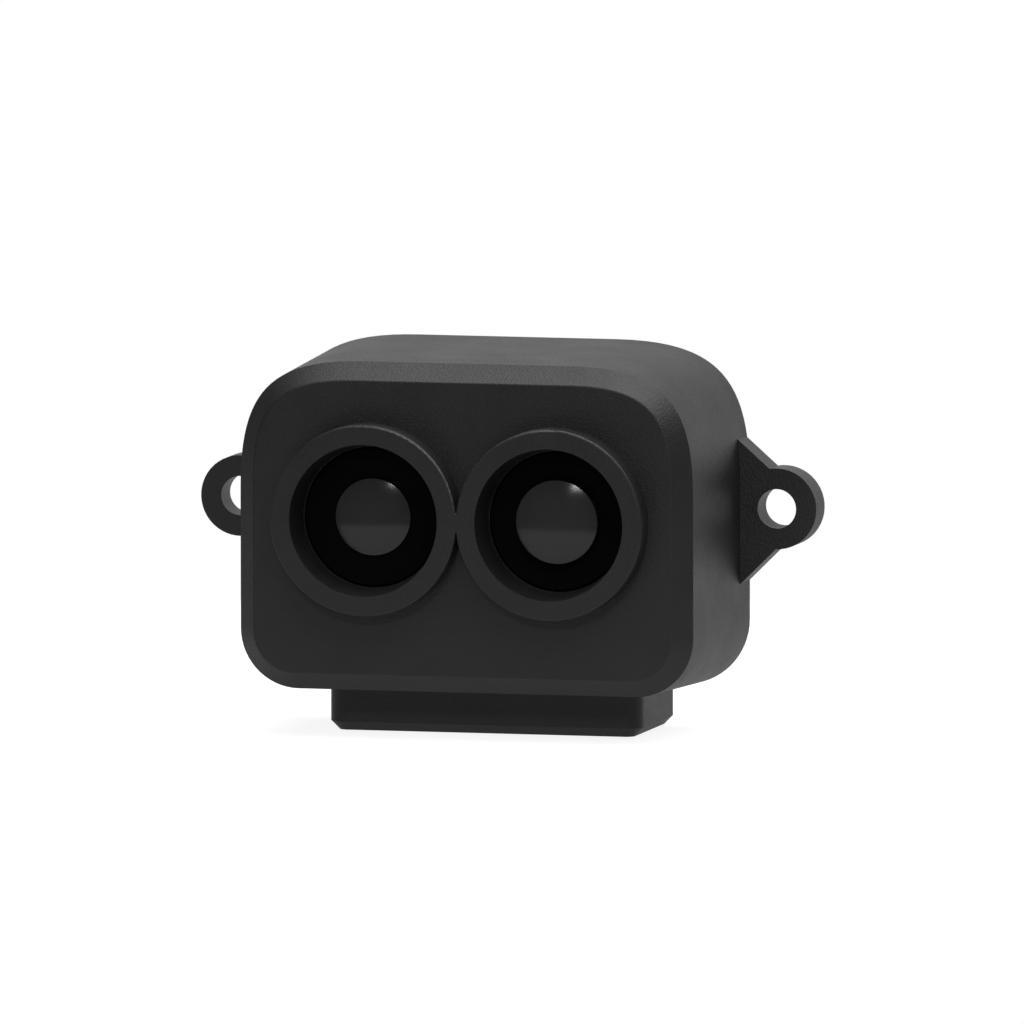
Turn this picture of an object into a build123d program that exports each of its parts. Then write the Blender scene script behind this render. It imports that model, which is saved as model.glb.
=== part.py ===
"""Miniature optical time-of-flight distance sensor, in millimetres.

Frame: the origin is midway between the two ear holes, on the rear mounting plane.
+X runs to the right seen from the front, +Y to the rear, +Z up. The sensor looks along -Y.
Each physical piece is written to its own STEP file in parts/.
"""
import os
from math import sqrt

from build123d import *

# ---------------------------------------------------------------- housing
BODY_DEPTH = 12.05          # flat front face to rear face
REAR_HALF_WIDTH = 13.25     # housing at its rear face
REAR_TOP = 8.98             # above the ear holes
REAR_BOTTOM = -10.02
TOP_CORNER_REACH = 7.6      # how far the soft top corner runs along each side
TOP_CORNER_FULLNESS = 0.75  # control handle, as a share of the reach
REACH_PER_INSET = 1.35      # the reach that an inset outline loses
BOTTOM_RADIUS = 3.7
DRAFT_INSET = 0.42          # taper of the side walls from the rear to the front shoulder
FRONT_CHAMFER = 0.98
WALL = 1.1
FRONT_WALL = 1.2
EDGE_ROUND = 0.12

# ---------------------------------------------------------------- mounting ears
EAR_SPACING = 30.52
EAR_RADIUS = 2.24
EAR_HOLE_RADIUS = 1.09
EAR_THICKNESS = 1.92
EAR_ROOT_TOP = 4.1
EAR_ROOT_BOTTOM = -4.7
EAR_ROOT_SINK = 0.55        # how deep the root runs into the side wall
EAR_NECK_TOP = 0.41         # upper neck corner, inboard of the hole's centre
EAR_NECK_BOTTOM = 0.06      # lower neck corner, inboard of the hole's centre

# ---------------------------------------------------------------- foot
FOOT_HALF_WIDTH = 8.87
FOOT_FRONT_SETBACK = 4.55   # behind the flat front face
FOOT_BOTTOM = -12.27
FOOT_CORNER = 1.0
FOOT_CHAMFER = 0.5
FOOT_WALL = 0.85
FOOT_ROOT_ROUND = 0.3

# ---------------------------------------------------------------- optics
EYE_SPACING = 10.5
RING_RADIUS = 5.28
RING_HEIGHT = 1.45
WELL_RADIUS = 4.19          # at the ring's front
WELL_BOTTOM_RADIUS = 3.93
WELL_DEPTH = 2.2
BARREL_RADIUS = 3.87
BARREL_LENGTH = 3.45
BARREL_LIP = 0.45           # front wall of the barrel
BARREL_DISH = 0.12          # how much the front wall sinks towards its aperture
BARREL_BORE_RADIUS = 2.85
BARREL_RIM = 0.12
FLANGE_RADIUS = 4.4
FLANGE_THICKNESS = 0.5
TUBE_WALL = 0.8
LENS_RIM_RADIUS = 2.82
LENS_RIM_THICKNESS = 0.85
EMITTER_APERTURE = 2.15
RECEIVER_APERTURE = 2.33
EMITTER_CROWN = 0.32        # height of the domed lens face
RECEIVER_CROWN = 0.36
EMITTER_NECK = 0.45         # straight part of the lens inside the aperture
RECEIVER_NECK = 0.8
RETAINER_THICKNESS = 0.8
RETAINER_INNER = 2.2
SPANNER_SLOT = 0.5
FILTER_THICKNESS = 0.5
SEAL_CORD_RADIUS = 0.33
SEAL_SETBACK = 1.5          # seal's centre behind the barrel's front
SEAL_GROOVE = 1.15          # groove width as a share of the cord's diameter
FIT = 0.03                  # radial clearance of parts that slide together

# ---------------------------------------------------------------- rear cover
COVER_THICKNESS = 1.2
COVER_GAP = 0.05
GASKET_THICKNESS = 0.3
RIM_WIDTH = 0.6
LEDGE_INSET = 1.5
SCREW_TOP_X = 10.2
SCREW_TOP_Z = 5.6
SCREW_BOTTOM_X = 10.6
SCREW_BOTTOM_Z = -7.3
BOSS_RADIUS = 1.2
SCREW_SHANK_RADIUS = 0.5
SCREW_HEAD_RADIUS = 0.9
SCREW_HEAD_HEIGHT = 0.5
SCREW_LENGTH = 4.0
HEAD_RECESS = 0.6
DRIVE_RADIUS = 0.42
DRIVE_DEPTH = 0.28

# ---------------------------------------------------------------- circuit board
BOARD_REAR_Y = -4.9
BOARD_THICKNESS = 1.0
BOARD_HALF_WIDTH = 8.8
BOARD_TOP = 7.1
BOARD_BOTTOM = -8.0
BOARD_CORNER = 0.6
BOARD_SCREW_X = 7.6
BOARD_SCREW_TOP_Z = 5.7
BOARD_SCREW_LOW_Z = -6.3
POST_RADIUS = 1.1
BAFFLE_HALF_HEIGHT = 4.3
BAFFLE_MARGIN = 3.4         # beyond each optical axis
EMITTER_CHAMBER = 5.2
RECEIVER_CHAMBER = 6.2
LASER_SIZE = 3.4
LASER_TALL = 0.9
SENSOR_WIDE = 3.6
SENSOR_HIGH = 3.0
SENSOR_TALL = 0.8
LID_TALL = 0.25
LID_MARGIN = 0.3
CAN_SIZE = 5.6
CAN_TALL = 1.6
CAN_SHEET = 0.2
CAN_APERTURE = 1.3

# ---------------------------------------------------------------- cable socket and its pocket
PIN_COUNT = 6
PIN_PITCH = 1.25
PIN_SIZE = 0.36
PIN_TIP_SETBACK = 0.9       # tips behind the socket's mouth
PIN_TAIL = 0.7              # beyond the socket's closed end
SOCKET_HALF_WIDTH = 5.35
SOCKET_HEIGHT = 3.4
SOCKET_LENGTH = 4.0
SOCKET_WALL = 0.5
SOCKET_FLOOR = 0.9          # closed end that holds the pins
KEY_WIDTH = 1.2
KEY_DEPTH = 0.3
ANCHOR_SHEET = 0.2
ANCHOR_LENGTH = 1.9
ANCHOR_FOOT = 0.8
POCKET_HALF_WIDTH = 5.7
POCKET_RIB = 0.9

# ---------------------------------------------------------------- derived places
FRONT_Y = -BODY_DEPTH
RING_Y = FRONT_Y - RING_HEIGHT
SHOULDER_Y = FRONT_Y + FRONT_CHAMFER
CAVITY_FRONT_Y = FRONT_Y + FRONT_WALL
LEDGE_Y = -(COVER_THICKNESS + GASKET_THICKNESS)
BARREL_Y = RING_Y + WELL_DEPTH
BARREL_REAR_Y = BARREL_Y + BARREL_LENGTH
FLANGE_Y = BARREL_REAR_Y - FLANGE_THICKNESS
LENS_SEAT_Y = BARREL_Y + BARREL_LIP
LENS_REAR_Y = LENS_SEAT_Y + LENS_RIM_THICKNESS
BOARD_FRONT_Y = BOARD_REAR_Y - BOARD_THICKNESS
FOOT_FRONT_Y = FRONT_Y + FOOT_FRONT_SETBACK
FOOT_FLOOR_Z = FOOT_BOTTOM + FOOT_WALL
FOOT_OPEN_Z = REAR_BOTTOM + WALL + DRAFT_INSET
SOCKET_REAR_Y = BOARD_REAR_Y + SOCKET_HEIGHT
SOCKET_MID_Y = BOARD_REAR_Y + SOCKET_HEIGHT / 2
SOCKET_TOP_Z = BOARD_BOTTOM + SOCKET_LENGTH
EMITTER_X = -EYE_SPACING / 2
RECEIVER_X = EYE_SPACING / 2
EYES = (EMITTER_X, RECEIVER_X)
EAR_X = EAR_SPACING / 2
TUBE_BORE = BARREL_RADIUS + FIT
TUBE_RADIUS = TUBE_BORE + TUBE_WALL
COVER_SCREWS = [(sx * x, z) for sx in (-1, 1)
                for x, z in ((SCREW_TOP_X, SCREW_TOP_Z), (SCREW_BOTTOM_X, SCREW_BOTTOM_Z))]
BOARD_SCREWS = [(sx * BOARD_SCREW_X, z) for sx in (-1, 1) for z in (BOARD_SCREW_TOP_Z, BOARD_SCREW_LOW_Z)]


# ================================================================ helpers
def upright(y):
    """The plane at y that faces the front, with local x along X and local y along Z."""
    return Plane(origin=(0, y, 0), x_dir=(1, 0, 0), z_dir=(0, -1, 0))


def block(x0, x1, y0, y1, z0, z1):
    """A box between two corners."""
    return Pos((x0 + x1) / 2, (y0 + y1) / 2, (z0 + z1) / 2) * Box(x1 - x0, y1 - y0, z1 - z0)


def rod(x, z, radius, y0, y1):
    """A cylinder along Y from y0 to y1."""
    return Pos(x, (y0 + y1) / 2, z) * Rot(90, 0, 0) * Cylinder(radius, y1 - y0)


def taper(x, z, radius_front, radius_rear, y0, y1):
    """A cone along Y: radius_front at y0, radius_rear at y1."""
    return Pos(x, (y0 + y1) / 2, z) * Rot(90, 0, 0) * Cone(radius_rear, radius_front, y1 - y0)


def outline(inset):
    """The housing's rear outline moved in by inset: soft top corners, round bottom corners."""
    w, t, b = REAR_HALF_WIDTH - inset, REAR_TOP - inset, REAR_BOTTOM + inset
    reach = TOP_CORNER_REACH - REACH_PER_INSET * inset
    near = reach * (1 - TOP_CORNER_FULLNESS)
    r = BOTTOM_RADIUS - inset
    q = r * (1 - sqrt(0.5))
    return make_face([
        Line((-w + reach, t), (w - reach, t)),
        Bezier((w - reach, t), (w - near, t), (w, t - near), (w, t - reach)),
        Line((w, t - reach), (w, b + r)),
        ThreePointArc((w, b + r), (w - q, b + q), (w - r, b)),
        Line((w - r, b), (-w + r, b)),
        ThreePointArc((-w + r, b), (-w + q, b + q), (-w, b + r)),
        Line((-w, b + r), (-w, t - reach)),
        Bezier((-w, t - reach), (-w, t - near), (-w + near, t), (-w + reach, t)),
    ])


def between(y0, inset0, y1, inset1):
    """The solid between two housing outlines."""
    return loft([upright(y0) * outline(inset0), upright(y1) * outline(inset1)], ruled=True)


def side_inset(y):
    """How far the drafted side wall stands inside the rear outline at y."""
    return DRAFT_INSET * y / SHOULDER_Y


def foot_block(inset, y0, y1, top):
    """The foot's outline, shrunk by inset, from y0 to y1 and up to top."""
    w = FOOT_HALF_WIDTH - inset
    return block(-w, w, y0, y1, FOOT_BOTTOM + inset, top)


def screw(x, z, seat_y, length):
    """A cross-recessed pan screw along Y: head towards +Y, under-head face at seat_y."""
    top = seat_y + SCREW_HEAD_HEIGHT
    head = rod(x, z, SCREW_HEAD_RADIUS, seat_y, top)
    head = fillet(head.edges().group_by(Axis.Y)[-1], SCREW_HEAD_HEIGHT * 0.5)
    half_slot = SCREW_HEAD_RADIUS * 0.12
    cross = block(x - DRIVE_RADIUS, x + DRIVE_RADIUS, top - DRIVE_DEPTH, top, z - half_slot, z + half_slot)
    cross += block(x - half_slot, x + half_slot, top - DRIVE_DEPTH, top, z - DRIVE_RADIUS, z + DRIVE_RADIUS)
    point = SCREW_SHANK_RADIUS * 0.8
    shank = rod(x, z, SCREW_SHANK_RADIUS, seat_y - length + point, seat_y)
    tip = taper(x, z, SCREW_SHANK_RADIUS * 0.3, SCREW_SHANK_RADIUS, seat_y - length, seat_y - length + point)
    return head + shank + tip - cross


def chip(x, z, wide, high, tall, side):
    """A component body on the board: side -1 on the front face, +1 on the rear face."""
    base = BOARD_FRONT_Y if side < 0 else BOARD_REAR_Y
    y0, y1 = sorted((base, base + side * tall))
    return block(x - wide / 2, x + wide / 2, y0, y1, z - high / 2, z + high / 2)


def row(count, x, z, dx, dz, wide, high, tall, side):
    """A row of equal small components, as separate solids."""
    return [chip(x + i * dx, z + i * dz, wide, high, tall, side) for i in range(count)]


def save(name, *solids):
    """Writes one node, from one solid or a group of separate ones."""
    shape = solids[0] if len(solids) == 1 else Compound(children=list(solids))
    export_step(shape, f"parts/{name}.step")


# ================================================================ housing
def ear(side):
    """One mounting ear: a round eye on a tapering root, flush with the rear face."""
    root = REAR_HALF_WIDTH - EAR_ROOT_SINK
    top = (EAR_X - EAR_NECK_TOP, sqrt(EAR_RADIUS ** 2 - EAR_NECK_TOP ** 2))
    bottom = (EAR_X - EAR_NECK_BOTTOM, -sqrt(EAR_RADIUS ** 2 - EAR_NECK_BOTTOM ** 2))
    web = Polygon((root, EAR_ROOT_TOP), (root, EAR_ROOT_BOTTOM), bottom, top, align=None)
    web = extrude(upright(0) * web, EAR_THICKNESS, dir=(0, -1, 0))
    whole = web + rod(EAR_X, 0, EAR_RADIUS, -EAR_THICKNESS, 0)
    whole -= rod(EAR_X, 0, EAR_HOLE_RADIUS, -2 * EAR_THICKNESS, EAR_THICKNESS)
    return whole if side > 0 else mirror(whole, about=Plane.YZ)


def housing_foot():
    """The foot under the housing, with rounded front corners and a chamfered sole."""
    foot = foot_block(0, FOOT_FRONT_Y, 0, REAR_BOTTOM + WALL / 2)
    foot = fillet(foot.edges().filter_by(Axis.Z).group_by(Axis.Y)[0], FOOT_CORNER)
    sole = foot.faces().sort_by(Axis.Z)[0].edges()
    rear_edge = sole.group_by(Axis.Y)[-1]
    return chamfer([e for e in sole if e not in rear_edge], FOOT_CHAMFER)


def is_foot_root(edge):
    """Whether an edge runs along the junction of foot and body underside."""
    box = edge.bounding_box()
    low, high = REAR_BOTTOM - FIT, REAR_BOTTOM + DRAFT_INSET
    beside = max(abs(box.min.X), abs(box.max.X)) < FOOT_HALF_WIDTH + FIT
    behind = box.min.Y > FOOT_FRONT_Y - FIT and box.min.Y < -WALL
    return beside and behind and box.min.Z > low and box.max.Z < high


def outer_form():
    """The housing's outside: drafted box, chamfered front, eye rings, foot."""
    body = between(0, 0, SHOULDER_Y, DRAFT_INSET)
    body += between(SHOULDER_Y, DRAFT_INSET, FRONT_Y, DRAFT_INSET + FRONT_CHAMFER)
    body = fillet(body.faces().sort_by(Axis.Y)[0].edges(), EDGE_ROUND)
    for x in EYES:
        body += rod(x, 0, RING_RADIUS, RING_Y, FRONT_Y + FRONT_WALL / 2)
    body = fillet(body.faces().sort_by(Axis.Y)[0].edges(), EDGE_ROUND)
    body += housing_foot()
    root = [e for e in body.edges() if is_foot_root(e)]
    return fillet(root, FOOT_ROOT_ROUND)


def add_inner_supports(shell):
    """Lens tubes, cover bosses and board posts inside the shell, and their bores."""
    for x in EYES:
        shell += rod(x, 0, TUBE_RADIUS, CAVITY_FRONT_Y, FLANGE_Y)
    for x, z in COVER_SCREWS:
        shell += rod(x, z, BOSS_RADIUS, CAVITY_FRONT_Y, LEDGE_Y)
    for x, z in BOARD_SCREWS:
        shell += rod(x, z, POST_RADIUS, CAVITY_FRONT_Y, BOARD_FRONT_Y)
    for x in EYES:
        shell -= taper(x, 0, WELL_RADIUS, WELL_BOTTOM_RADIUS, RING_Y, BARREL_Y)
        shell -= rod(x, 0, TUBE_BORE, BARREL_Y, FLANGE_Y)
    for x, z in COVER_SCREWS:
        shell -= rod(x, z, SCREW_SHANK_RADIUS, -HEAD_RECESS - SCREW_LENGTH - FIT, LEDGE_Y)
    for x, z in BOARD_SCREWS:
        shell -= rod(x, z, SCREW_SHANK_RADIUS, BOARD_REAR_Y - SCREW_LENGTH - FIT, BOARD_FRONT_Y)
    return shell


def housing():
    """The moulded front housing: shell, rings, foot with cable pocket, ears and inner supports."""
    shell = outer_form()
    shell -= between(CAVITY_FRONT_Y, side_inset(CAVITY_FRONT_Y) + WALL, LEDGE_Y, side_inset(LEDGE_Y) + WALL)
    shell -= between(LEDGE_Y, RIM_WIDTH + side_inset(LEDGE_Y), 0, RIM_WIDTH)
    shell -= foot_block(FOOT_WALL, FOOT_FRONT_Y + FOOT_WALL, 0, FOOT_OPEN_Z)
    for side in (-1, 1):
        x0, x1 = sorted((side * POCKET_HALF_WIDTH, side * (POCKET_HALF_WIDTH + POCKET_RIB)))
        shell += block(x0, x1, FOOT_FRONT_Y + FOOT_WALL, LEDGE_Y, FOOT_FLOOR_Z, FOOT_OPEN_Z)
    shell -= block(-POCKET_HALF_WIDTH, POCKET_HALF_WIDTH, FOOT_FRONT_Y + FOOT_WALL, -COVER_THICKNESS,
                   FOOT_BOTTOM, FOOT_OPEN_Z)
    shell = add_inner_supports(shell)
    for side in (-1, 1):
        shell += ear(side)
    return shell


# ================================================================ rear cover
def rear_cover():
    """The plate that closes the back, with a tongue behind the cable pocket and four screw seats."""
    seat = RIM_WIDTH + COVER_GAP
    plate = between(-COVER_THICKNESS, seat + side_inset(-COVER_THICKNESS), 0, seat)
    plate += foot_block(FOOT_WALL + COVER_GAP, -COVER_THICKNESS, 0, BOARD_BOTTOM)
    for x, z in COVER_SCREWS:
        plate -= rod(x, z, SCREW_SHANK_RADIUS + COVER_GAP, -COVER_THICKNESS, 0)
        plate -= rod(x, z, SCREW_HEAD_RADIUS + COVER_GAP, -HEAD_RECESS, 0)
    return plate


def cover_gasket():
    """The flat seal between cover and housing, open across the foot."""
    seal = between(LEDGE_Y, RIM_WIDTH + COVER_GAP + side_inset(LEDGE_Y),
                   -COVER_THICKNESS, RIM_WIDTH + COVER_GAP + side_inset(LEDGE_Y))
    seal -= between(LEDGE_Y, LEDGE_INSET, -COVER_THICKNESS, LEDGE_INSET)
    seal -= foot_block(0, LEDGE_Y, -COVER_THICKNESS, REAR_BOTTOM + BOTTOM_RADIUS)
    for x, z in COVER_SCREWS:
        seal -= rod(x, z, SCREW_SHANK_RADIUS + COVER_GAP, LEDGE_Y, -COVER_THICKNESS)
    return seal


# ================================================================ optics
def barrel(x, aperture):
    """A lens barrel: dished front wall, seal groove, rear flange."""
    body = rod(x, 0, BARREL_RADIUS, BARREL_Y, BARREL_REAR_Y)
    body = chamfer(body.edges().group_by(Axis.Y)[0], BARREL_RIM)
    body += rod(x, 0, FLANGE_RADIUS, FLANGE_Y, BARREL_REAR_Y)
    body -= taper(x, 0, BARREL_RADIUS - BARREL_RIM, aperture, BARREL_Y, BARREL_Y + BARREL_DISH)
    body -= rod(x, 0, aperture, BARREL_Y, LENS_SEAT_Y)
    body -= rod(x, 0, BARREL_BORE_RADIUS, LENS_SEAT_Y, BARREL_REAR_Y)
    middle, half = BARREL_Y + SEAL_SETBACK, SEAL_GROOVE * SEAL_CORD_RADIUS
    groove = rod(x, 0, TUBE_RADIUS, middle - half, middle + half)
    groove -= rod(x, 0, TUBE_BORE - 2 * SEAL_CORD_RADIUS, middle - half, middle + half)
    return body - groove


def lens(x, aperture, neck, crown):
    """A plano-convex lens: rim in the bore, neck in the aperture, domed face."""
    neck_radius = aperture - FIT
    face_y = LENS_SEAT_Y - neck
    ball = (neck_radius ** 2 + crown ** 2) / (2 * crown)
    dome = Pos(x, face_y - crown + ball, 0) * Sphere(ball)
    dome &= rod(x, 0, neck_radius, face_y - 2 * crown, LENS_SEAT_Y)
    return dome + rod(x, 0, LENS_RIM_RADIUS, LENS_SEAT_Y, LENS_REAR_Y)


def retainer(x, y):
    """The ring that holds the optics in the barrel, with two spanner slots."""
    ring = rod(x, 0, LENS_RIM_RADIUS, y, y + RETAINER_THICKNESS)
    ring -= rod(x, 0, RETAINER_INNER, y, y + RETAINER_THICKNESS)
    half, end = SPANNER_SLOT / 2, y + RETAINER_THICKNESS
    return ring - block(x - LENS_RIM_RADIUS, x + LENS_RIM_RADIUS, end - half, end, -half, half)


def barrel_seal(x):
    """The O-ring between barrel and tube."""
    return Pos(x, BARREL_Y + SEAL_SETBACK, 0) * Rot(90, 0, 0) * Torus(TUBE_BORE - SEAL_CORD_RADIUS, SEAL_CORD_RADIUS)


def light_baffle():
    """The black block that keeps the two light paths apart, between barrels and board."""
    body = block(EMITTER_X - BAFFLE_MARGIN, RECEIVER_X + BAFFLE_MARGIN, BARREL_REAR_Y, BOARD_FRONT_Y,
                 -BAFFLE_HALF_HEIGHT, BAFFLE_HALF_HEIGHT)
    body = fillet(body.edges().filter_by(Axis.Y), BOARD_CORNER)
    for x, size in ((EMITTER_X, EMITTER_CHAMBER), (RECEIVER_X, RECEIVER_CHAMBER)):
        body -= block(x - size / 2, x + size / 2, BARREL_REAR_Y, BOARD_FRONT_Y, -size / 2, size / 2)
    return body


def glass_lid(x, wide, high, tall):
    """The clear lid on an optical chip that stands tall above the board's front face."""
    y1 = BOARD_FRONT_Y - tall
    half_w, half_h = wide / 2 - LID_MARGIN, high / 2 - LID_MARGIN
    return block(x - half_w, x + half_w, y1 - LID_TALL, y1, -half_h, half_h)


def shield_can():
    """The metal can over the receiver chip, with a round aperture."""
    inner = CAN_SIZE - 2 * CAN_SHEET
    can = chip(RECEIVER_X, 0, CAN_SIZE, CAN_SIZE, CAN_TALL, -1)
    can -= chip(RECEIVER_X, 0, inner, inner, CAN_TALL - CAN_SHEET, -1)
    return can - rod(RECEIVER_X, 0, CAN_APERTURE, BOARD_FRONT_Y - CAN_TALL, BOARD_FRONT_Y)


# ================================================================ electronics
def main_board():
    """The circuit board on its four posts."""
    board = block(-BOARD_HALF_WIDTH, BOARD_HALF_WIDTH, BOARD_FRONT_Y, BOARD_REAR_Y, BOARD_BOTTOM, BOARD_TOP)
    board = fillet(board.edges().filter_by(Axis.Y), BOARD_CORNER)
    for x, z in BOARD_SCREWS:
        board -= rod(x, z, SCREW_SHANK_RADIUS + COVER_GAP, BOARD_FRONT_Y, BOARD_REAR_Y)
    return board


def voltage_regulator():
    """The three-legged voltage regulator on the rear of the board."""
    body = chip(7.2, -2.7, 1.5, 2.9, 1.1, 1)
    for dx, dz in ((-1.0, -0.95), (-1.0, 0.95), (1.0, 0.0)):
        body += chip(7.2 + dx, -2.7 + dz, 0.5, 0.4, 0.4, 1)
    return body


def pin(i):
    """One square contact pin: straight in the socket, bent down to the board behind it."""
    x = (i - (PIN_COUNT - 1) / 2) * PIN_PITCH
    half = PIN_SIZE / 2
    end = SOCKET_TOP_Z + PIN_TAIL
    blade = block(x - half, x + half, SOCKET_MID_Y - half, SOCKET_MID_Y + half, BOARD_BOTTOM + PIN_TIP_SETBACK, end)
    return blade + block(x - half, x + half, BOARD_REAR_Y, SOCKET_MID_Y + half, end - PIN_SIZE, end)


def cable_socket():
    """The six-way header: an open box whose mouth faces down into the cable pocket."""
    body = block(-SOCKET_HALF_WIDTH, SOCKET_HALF_WIDTH, BOARD_REAR_Y, SOCKET_REAR_Y, BOARD_BOTTOM, SOCKET_TOP_Z)
    body = chamfer(body.edges().filter_by(Axis.Z).group_by(Axis.Y)[-1], KEY_DEPTH)
    inner = SOCKET_HALF_WIDTH - SOCKET_WALL
    floor = SOCKET_TOP_Z - SOCKET_FLOOR
    body -= block(-inner, inner, BOARD_REAR_Y + SOCKET_WALL, SOCKET_REAR_Y - SOCKET_WALL, BOARD_BOTTOM, floor)
    for side in (-1, 1):
        x = side * SOCKET_HALF_WIDTH / 2
        body -= block(x - KEY_WIDTH / 2, x + KEY_WIDTH / 2, SOCKET_REAR_Y - SOCKET_WALL,
                      SOCKET_REAR_Y - SOCKET_WALL + KEY_DEPTH, BOARD_BOTTOM, floor)
    for i in range(PIN_COUNT):
        body -= pin(i)
    return body


def socket_anchor(side):
    """A folded metal tab that solders the socket's side to the board."""
    x0 = SOCKET_HALF_WIDTH
    x1, x2 = x0 + ANCHOR_SHEET, x0 + ANCHOR_SHEET + ANCHOR_FOOT
    z0 = (BOARD_BOTTOM + SOCKET_TOP_Z - ANCHOR_LENGTH) / 2
    z1 = z0 + ANCHOR_LENGTH
    tab = block(x0, x1, BOARD_REAR_Y, SOCKET_MID_Y, z0, z1) + block(
        x1, x2, BOARD_REAR_Y, BOARD_REAR_Y + ANCHOR_SHEET, z0, z1)
    return tab if side > 0 else mirror(tab, about=Plane.YZ)


# ================================================================ write the nodes
os.makedirs("parts", exist_ok=True)

save("front_housing", housing())
save("rear_cover", rear_cover())
save("cover_gasket", cover_gasket())
save("cover_screws", *[screw(x, z, -HEAD_RECESS, SCREW_LENGTH) for x, z in COVER_SCREWS])

save("emitter_barrel", barrel(EMITTER_X, EMITTER_APERTURE))
save("receiver_barrel", barrel(RECEIVER_X, RECEIVER_APERTURE))
save("emitter_lens", lens(EMITTER_X, EMITTER_APERTURE, EMITTER_NECK, EMITTER_CROWN))
save("receiver_lens", lens(RECEIVER_X, RECEIVER_APERTURE, RECEIVER_NECK, RECEIVER_CROWN))
save("emitter_retainer", retainer(EMITTER_X, LENS_REAR_Y))
save("bandpass_filter", rod(RECEIVER_X, 0, LENS_RIM_RADIUS, LENS_REAR_Y, LENS_REAR_Y + FILTER_THICKNESS))
save("receiver_retainer", retainer(RECEIVER_X, LENS_REAR_Y + FILTER_THICKNESS))
save("barrel_seals", *[barrel_seal(x) for x in EYES])
save("light_baffle", light_baffle())

save("main_board", main_board())
save("board_screws", *[screw(x, z, BOARD_REAR_Y, SCREW_LENGTH) for x, z in BOARD_SCREWS])
save("laser_emitter", chip(EMITTER_X, 0, LASER_SIZE, LASER_SIZE, LASER_TALL, -1))
save("laser_diffuser", glass_lid(EMITTER_X, LASER_SIZE, LASER_SIZE, LASER_TALL))
save("receiver_chip", chip(RECEIVER_X, 0, SENSOR_WIDE, SENSOR_HIGH, SENSOR_TALL, -1))
save("receiver_glass", glass_lid(RECEIVER_X, SENSOR_WIDE, SENSOR_HIGH, SENSOR_TALL))
save("shield_can", shield_can())
save("laser_driver", chip(-4.2, 5.8, 2.2, 2.0, 0.75, -1))
save("pulse_capacitors", *row(3, -2.0, 5.8, 1.3, 0, 0.8, 1.6, 0.8, -1))
save("power_inductor", chip(3.6, 5.8, 2.5, 2.0, 1.2, -1))
save("microcontroller", chip(0.4, 2.4, 5.0, 5.0, 0.85, 1))
save("crystal", chip(5.6, 2.2, 2.5, 3.2, 0.7, 1))
save("voltage_regulator", voltage_regulator())
save("bulk_capacitor", chip(-7.2, -2.7, 1.6, 3.2, 1.5, 1))
save("ceramic_capacitors", *row(5, -6.4, 3.9, 0, -1.1, 1.0, 0.5, 0.5, 1),
     *row(4, -4.6, 6.2, 1.2, 0, 0.5, 1.0, 0.5, 1))
save("chip_resistors", *row(5, -3.9, 3.9, 0, -1.1, 1.0, 0.5, 0.35, 1),
     *row(4, 1.2, 6.2, 1.2, 0, 0.5, 1.0, 0.35, 1))
save("cable_socket", cable_socket())
save("socket_pins", *[pin(i) for i in range(PIN_COUNT)])
save("socket_anchors", *[socket_anchor(side) for side in (-1, 1)])
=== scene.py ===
"""Looks for the optical distance sensor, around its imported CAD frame. Metres, in the CAD axes."""
from math import cos, pi, radians, sin

import bpy
from mathutils import Matrix, Vector


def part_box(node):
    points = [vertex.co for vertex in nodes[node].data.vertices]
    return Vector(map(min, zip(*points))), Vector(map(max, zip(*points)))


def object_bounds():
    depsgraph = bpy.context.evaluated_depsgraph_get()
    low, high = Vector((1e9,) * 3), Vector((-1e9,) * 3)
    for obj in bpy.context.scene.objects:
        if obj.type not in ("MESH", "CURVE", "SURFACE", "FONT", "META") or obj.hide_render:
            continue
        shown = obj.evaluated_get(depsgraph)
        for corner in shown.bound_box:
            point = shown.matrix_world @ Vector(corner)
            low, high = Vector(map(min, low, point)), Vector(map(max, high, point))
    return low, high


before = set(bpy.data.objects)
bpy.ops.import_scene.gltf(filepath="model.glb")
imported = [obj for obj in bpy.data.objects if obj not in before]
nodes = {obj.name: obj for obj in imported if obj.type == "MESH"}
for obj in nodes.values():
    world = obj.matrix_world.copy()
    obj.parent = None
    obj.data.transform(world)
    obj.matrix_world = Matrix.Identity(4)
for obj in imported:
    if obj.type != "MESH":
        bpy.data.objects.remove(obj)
cad_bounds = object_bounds()

MM = 0.001
BLOTCH_MM = 3.0                         # size of the mottling on every surface
UNEVEN_LOW, UNEVEN_HIGH = 0.12, 0.4     # usual range of the two noises multiplied


# ---------------------------------------------------------------- node helpers
class Graph:
    """A small helper that adds nodes to a tree and links them."""

    def __init__(self, tree):
        self.tree = tree
        tree.nodes.clear()

    def add(self, kind, inputs=None, **settings):
        node = self.tree.nodes.new(kind)
        for key, value in settings.items():
            setattr(node, key, value)
        for key, value in (inputs or {}).items():
            self.put(node.inputs[key], value)
        return node

    def put(self, socket, value):
        if isinstance(value, bpy.types.NodeSocket):
            self.tree.links.new(value, socket)
        else:
            socket.default_value = value


def grey(level, warm=0.0):
    """A near-neutral linear colour."""
    return (level * (1 + warm), level, level * (1 - warm), 1.0)


def noise(g, place, size_mm, detail, rough):
    """A noise field whose features are about size_mm across."""
    return g.add("ShaderNodeTexNoise", {"Vector": place, "Scale": 1 / (size_mm * MM),
                                        "Detail": detail, "Roughness": rough}).outputs["Fac"]


def remap(g, value, low, high, from_low=0.3, from_high=0.7):
    """The value stretched from one range to another, clamped."""
    return g.add("ShaderNodeMapRange", {"Value": value, "From Min": from_low, "From Max": from_high,
                                        "To Min": low, "To Max": high}).outputs["Result"]


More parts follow.
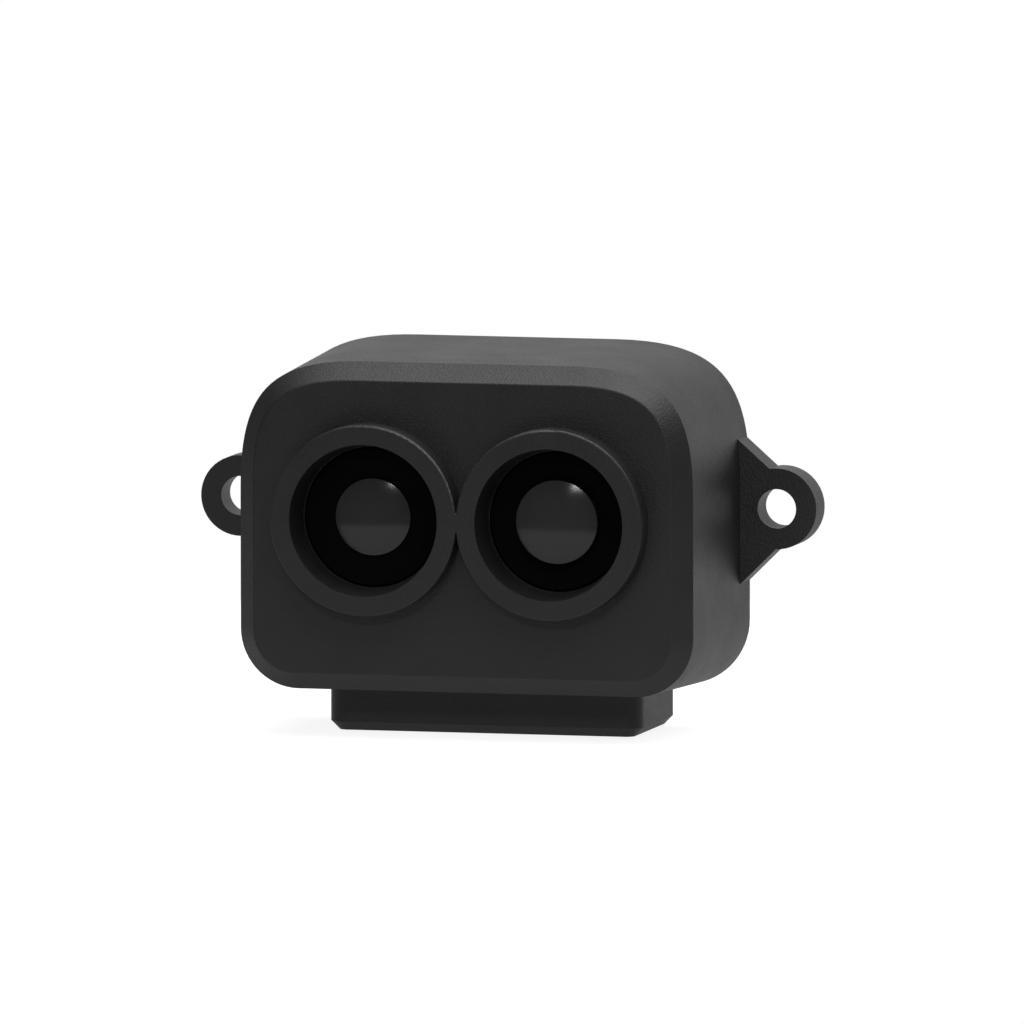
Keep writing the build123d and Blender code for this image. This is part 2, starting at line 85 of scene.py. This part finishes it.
def blend_colour(g, fac, a, b):
    """Colour a where fac is 0 and colour b where it is 1."""
    mix = g.add("ShaderNodeMix", data_type="RGBA")      # its colours are inputs 6, 7 and output 2
    g.put(mix.inputs[0], fac)
    g.put(mix.inputs[6], a)
    g.put(mix.inputs[7], b)
    return mix.outputs[2]


def surface(name, dark, light, rough_low, rough_high, grain_mm, grain_depth_mm, **shader):
    """A procedural material: mottled colour and roughness over a fine moulded or machined grain."""
    material = bpy.data.materials.new(name)
    material.use_nodes = True
    g = Graph(material.node_tree)
    place = g.add("ShaderNodeTexCoord").outputs["Object"]
    blotch = noise(g, place, BLOTCH_MM, 3.0, 0.55)
    fine = noise(g, place, grain_mm, 2.0, 0.6)
    uneven = g.add("ShaderNodeMath", {0: blotch, 1: fine}, operation="MULTIPLY").outputs[0]
    bump = g.add("ShaderNodeBump", {"Height": fine, "Distance": grain_depth_mm * MM,
                                    "Strength": 1.0})
    bsdf = g.add("ShaderNodeBsdfPrincipled", {
        "Base Color": blend_colour(g, remap(g, blotch, 0, 1), dark, light),
        "Roughness": remap(g, uneven, rough_low, rough_high, UNEVEN_LOW, UNEVEN_HIGH),
        "Normal": bump.outputs["Normal"],
    })
    for key, value in shader.items():
        g.put(bsdf.inputs[key.replace("_", " ")], value)
    out = g.add("ShaderNodeOutputMaterial")
    g.tree.links.new(bsdf.outputs[0], out.inputs["Surface"])
    return material


def paint(material, *names):
    """Gives CAD nodes a material."""
    for name in names:
        mesh = nodes[name].data
        mesh.materials.clear()
        mesh.materials.append(material)


# ---------------------------------------------------------------- materials
# Each row: name, darker and lighter colour, lowest and highest roughness, grain size and depth
# in mm.
housing_plastic = surface("moulded_black", grey(0.0046), grey(0.0064), 0.44, 0.54, 0.11, 0.022,
                          Specular_IOR_Level=0.42)
cover_plastic = surface("moulded_black_cover", grey(0.0054), grey(0.0074), 0.46, 0.58, 0.13, 0.018,
                        Specular_IOR_Level=0.42)
barrel_black = surface("light_trap_black", grey(0.0007), grey(0.0012), 0.75, 0.9, 0.06, 0.003,
                       Specular_IOR_Level=0.05)
lens_dark = surface("infrared_pass_lens", grey(0.021), grey(0.024), 0.12, 0.16, 0.4, 0.00002,
                    Specular_IOR_Level=0.3, IOR=1.5)
seal_rubber = surface("seal_rubber", grey(0.012), grey(0.02), 0.7, 0.9, 0.08, 0.004)
screw_steel = surface("dark_steel", grey(0.2), grey(0.3), 0.25, 0.45, 0.05, 0.002, Metallic=1.0)
tin_plate = surface("tin_plate", grey(0.55), grey(0.66), 0.25, 0.4, 0.08, 0.002, Metallic=1.0)
laminate = surface("solder_mask", (0.008, 0.07, 0.025, 1), (0.012, 0.1, 0.035, 1), 0.3, 0.45,
                   0.25, 0.004)
package = surface("epoxy_package", grey(0.018), grey(0.03), 0.6, 0.75, 0.05, 0.003)
alumina = surface("alumina", grey(0.62, 0.04), grey(0.7, 0.04), 0.5, 0.65, 0.05, 0.002)
capacitor = surface("capacitor", (0.3, 0.18, 0.09, 1), (0.38, 0.24, 0.13, 1), 0.35, 0.5,
                    0.05, 0.002)
nylon = surface("natural_nylon", (0.62, 0.58, 0.47, 1), (0.7, 0.66, 0.55, 1), 0.35, 0.5,
                0.09, 0.003, Subsurface_Weight=0.1)
gold = surface("contact_gold", (0.75, 0.5, 0.16, 1), (0.85, 0.6, 0.22, 1), 0.2, 0.35,
               0.05, 0.001, Metallic=1.0)
lid_glass = surface("clear_lid", grey(0.8), grey(0.85), 0.05, 0.1, 0.3, 0.0001,
                    Transmission_Weight=1.0)
filter_glass = surface("bandpass_glass", (0.09, 0.01, 0.04, 1), (0.12, 0.02, 0.06, 1), 0.05, 0.1,
                       0.3, 0.0001, Transmission_Weight=0.6)

paint(housing_plastic, "front_housing")
paint(cover_plastic, "rear_cover")
paint(barrel_black, "emitter_barrel", "receiver_barrel", "emitter_retainer", "receiver_retainer",
      "light_baffle")
paint(lens_dark, "emitter_lens", "receiver_lens")
paint(seal_rubber, "cover_gasket", "barrel_seals")
paint(screw_steel, "cover_screws", "board_screws")
paint(tin_plate, "shield_can", "crystal", "socket_anchors")
paint(laminate, "main_board")
paint(package, "receiver_chip", "laser_driver", "microcontroller", "voltage_regulator",
      "power_inductor", "chip_resistors")
paint(alumina, "laser_emitter")
paint(capacitor, "pulse_capacitors", "bulk_capacitor", "ceramic_capacitors")
paint(nylon, "cable_socket")
paint(gold, "socket_pins")
paint(lid_glass, "laser_diffuser", "receiver_glass")
paint(filter_glass, "bandpass_filter")

# ---------------------------------------------------------------- stage
FLOOR_Z = cad_bounds[0][2]
FLOOR_RADIUS, FLOOR_SIDES = 0.065, 96
FLOOR_GREY = 0.2                        # its own colour, under the glow
FLOOR_GLOW = 0.44                       # how much the floor lights the object
FLOOR_WHITE = 0.88                      # how bright it is to the camera before a lamp reaches it
FLOOR_GAP = 0.00003                     # keeps the floor off the foot's own face
FRONT_LEVEL, REAR_LEVEL = 0.18, 0.86    # strength of the surroundings
REAR_START = 0.3                        # how far to the rear they start to brighten, 0 to 1


def towards(azimuth, elevation):
    """The unit vector from the object. Azimuth 0 is in front of it, 90 at its +X side."""
    a, e = radians(azimuth), radians(elevation)
    return Vector((sin(a) * cos(e), -cos(a) * cos(e), sin(e)))


def stage_floor():
    """A plain round white floor under the foot. It shows whiter than it lights the object."""
    material = bpy.data.materials.new("floor_white")
    material.use_nodes = True
    g = Graph(material.node_tree)
    seen = g.add("ShaderNodeLightPath").outputs["Is Camera Ray"]
    glow = g.add("ShaderNodeMapRange", {"Value": seen, "To Min": FLOOR_GLOW,
                                        "To Max": FLOOR_WHITE}).outputs["Result"]
    bsdf = g.add("ShaderNodeBsdfPrincipled", {
        "Base Color": grey(FLOOR_GREY), "Roughness": 0.9, "Specular IOR Level": 0.1,
        "Emission Color": grey(1.0), "Emission Strength": glow,
    })
    out = g.add("ShaderNodeOutputMaterial")
    g.tree.links.new(bsdf.outputs[0], out.inputs["Surface"])
    mesh = bpy.data.meshes.new("floor")
    turns = [radians(i * 360 / FLOOR_SIDES) for i in range(FLOOR_SIDES)]
    rim = [(FLOOR_RADIUS * cos(t), FLOOR_RADIUS * sin(t), FLOOR_Z - FLOOR_GAP) for t in turns]
    mesh.from_pydata(rim, [], [range(FLOOR_SIDES)])
    mesh.materials.append(material)
    floor = bpy.data.objects.new("floor", mesh)
    bpy.context.scene.collection.objects.link(floor)


def soft_light(name, azimuth, elevation, distance, width, height, radiance):
    """An area light that faces the object."""
    back = towards(azimuth, elevation)
    light = bpy.data.lights.new(name, "AREA")
    light.shape = "RECTANGLE"
    light.size, light.size_y = width, height
    light.energy = radiance * pi * width * height
    lamp = bpy.data.objects.new(name, light)
    lamp.location = back * distance
    lamp.rotation_euler = back.to_track_quat("Z", "Y").to_euler()
    lamp.visible_camera = False
    bpy.context.scene.collection.objects.link(lamp)


def studio_world(front, rear):
    """White all round for the camera. The light from it is dimmer in front than behind."""
    world = bpy.data.worlds.new("studio")
    bpy.context.scene.world = world
    world.use_nodes = True
    g = Graph(world.node_tree)
    way = g.add("ShaderNodeTexCoord").outputs["Generated"]
    depth = g.add("ShaderNodeSeparateXYZ", {"Vector": way}).outputs["Y"]
    level = g.add("ShaderNodeMapRange", {"Value": depth, "From Min": REAR_START, "From Max": 1.0,
                                         "To Min": front, "To Max": rear},
                  interpolation_type="SMOOTHSTEP").outputs["Result"]
    lit = g.add("ShaderNodeBackground", {"Color": (1, 1, 1, 1), "Strength": level})
    seen = g.add("ShaderNodeBackground", {"Color": (1, 1, 1, 1), "Strength": 1.0})
    mix = g.add("ShaderNodeMixShader", {0: g.add("ShaderNodeLightPath").outputs["Is Camera Ray"],
                                        1: lit.outputs[0], 2: seen.outputs[0]})
    out = g.add("ShaderNodeOutputWorld")
    g.tree.links.new(mix.outputs[0], out.inputs["Surface"])


stage_floor()
studio_world(FRONT_LEVEL, REAR_LEVEL)
soft_light("overhead", azimuth=60, elevation=76, distance=1.5, width=2.1, height=2.0, radiance=4.0)
soft_light("lens_light", azimuth=5, elevation=24, distance=0.6, width=0.11, height=0.06,
           radiance=26.0)

# ---------------------------------------------------------------- camera
VIEW_AZIMUTH, VIEW_ELEVATION, VIEW_ROLL = 14.45, 5.9, -0.09
VIEW_DISTANCE = 2.4
VIEW_SCALE = 18.15e3            # image points per metre at the object
FRAME_POINTS, SENSOR = 1024, 36.0
EAR_THICKNESS = 0.00192
AIM = Vector((0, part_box("front_housing")[1][1] - EAR_THICKNESS, 0))     # on the ears' front plane
AIM_RIGHT, AIM_UP = 0.000212, -0.00054      # the frame's centre, off that point


def place_camera():
    """The camera at the reference viewing angle."""
    back = towards(VIEW_AZIMUTH, VIEW_ELEVATION)
    right = towards(VIEW_AZIMUTH + 90, 0)
    up = back.cross(right)
    camera = bpy.data.objects.new("camera", bpy.data.cameras.new("camera"))
    camera.data.sensor_width = SENSOR
    camera.data.lens = VIEW_SCALE * VIEW_DISTANCE * SENSOR / FRAME_POINTS
    camera.data.clip_start, camera.data.clip_end = 0.05, 20
    centre = AIM + right * AIM_RIGHT + up * AIM_UP
    turn = Matrix((right, up, back)).transposed().to_4x4()
    turn = turn @ Matrix.Rotation(radians(VIEW_ROLL), 4, "Z")
    camera.matrix_world = Matrix.Translation(centre + back * VIEW_DISTANCE) @ turn
    bpy.context.scene.collection.objects.link(camera)
    bpy.context.scene.camera = camera


place_camera()
bpy.context.scene.view_settings.view_transform = "Standard"
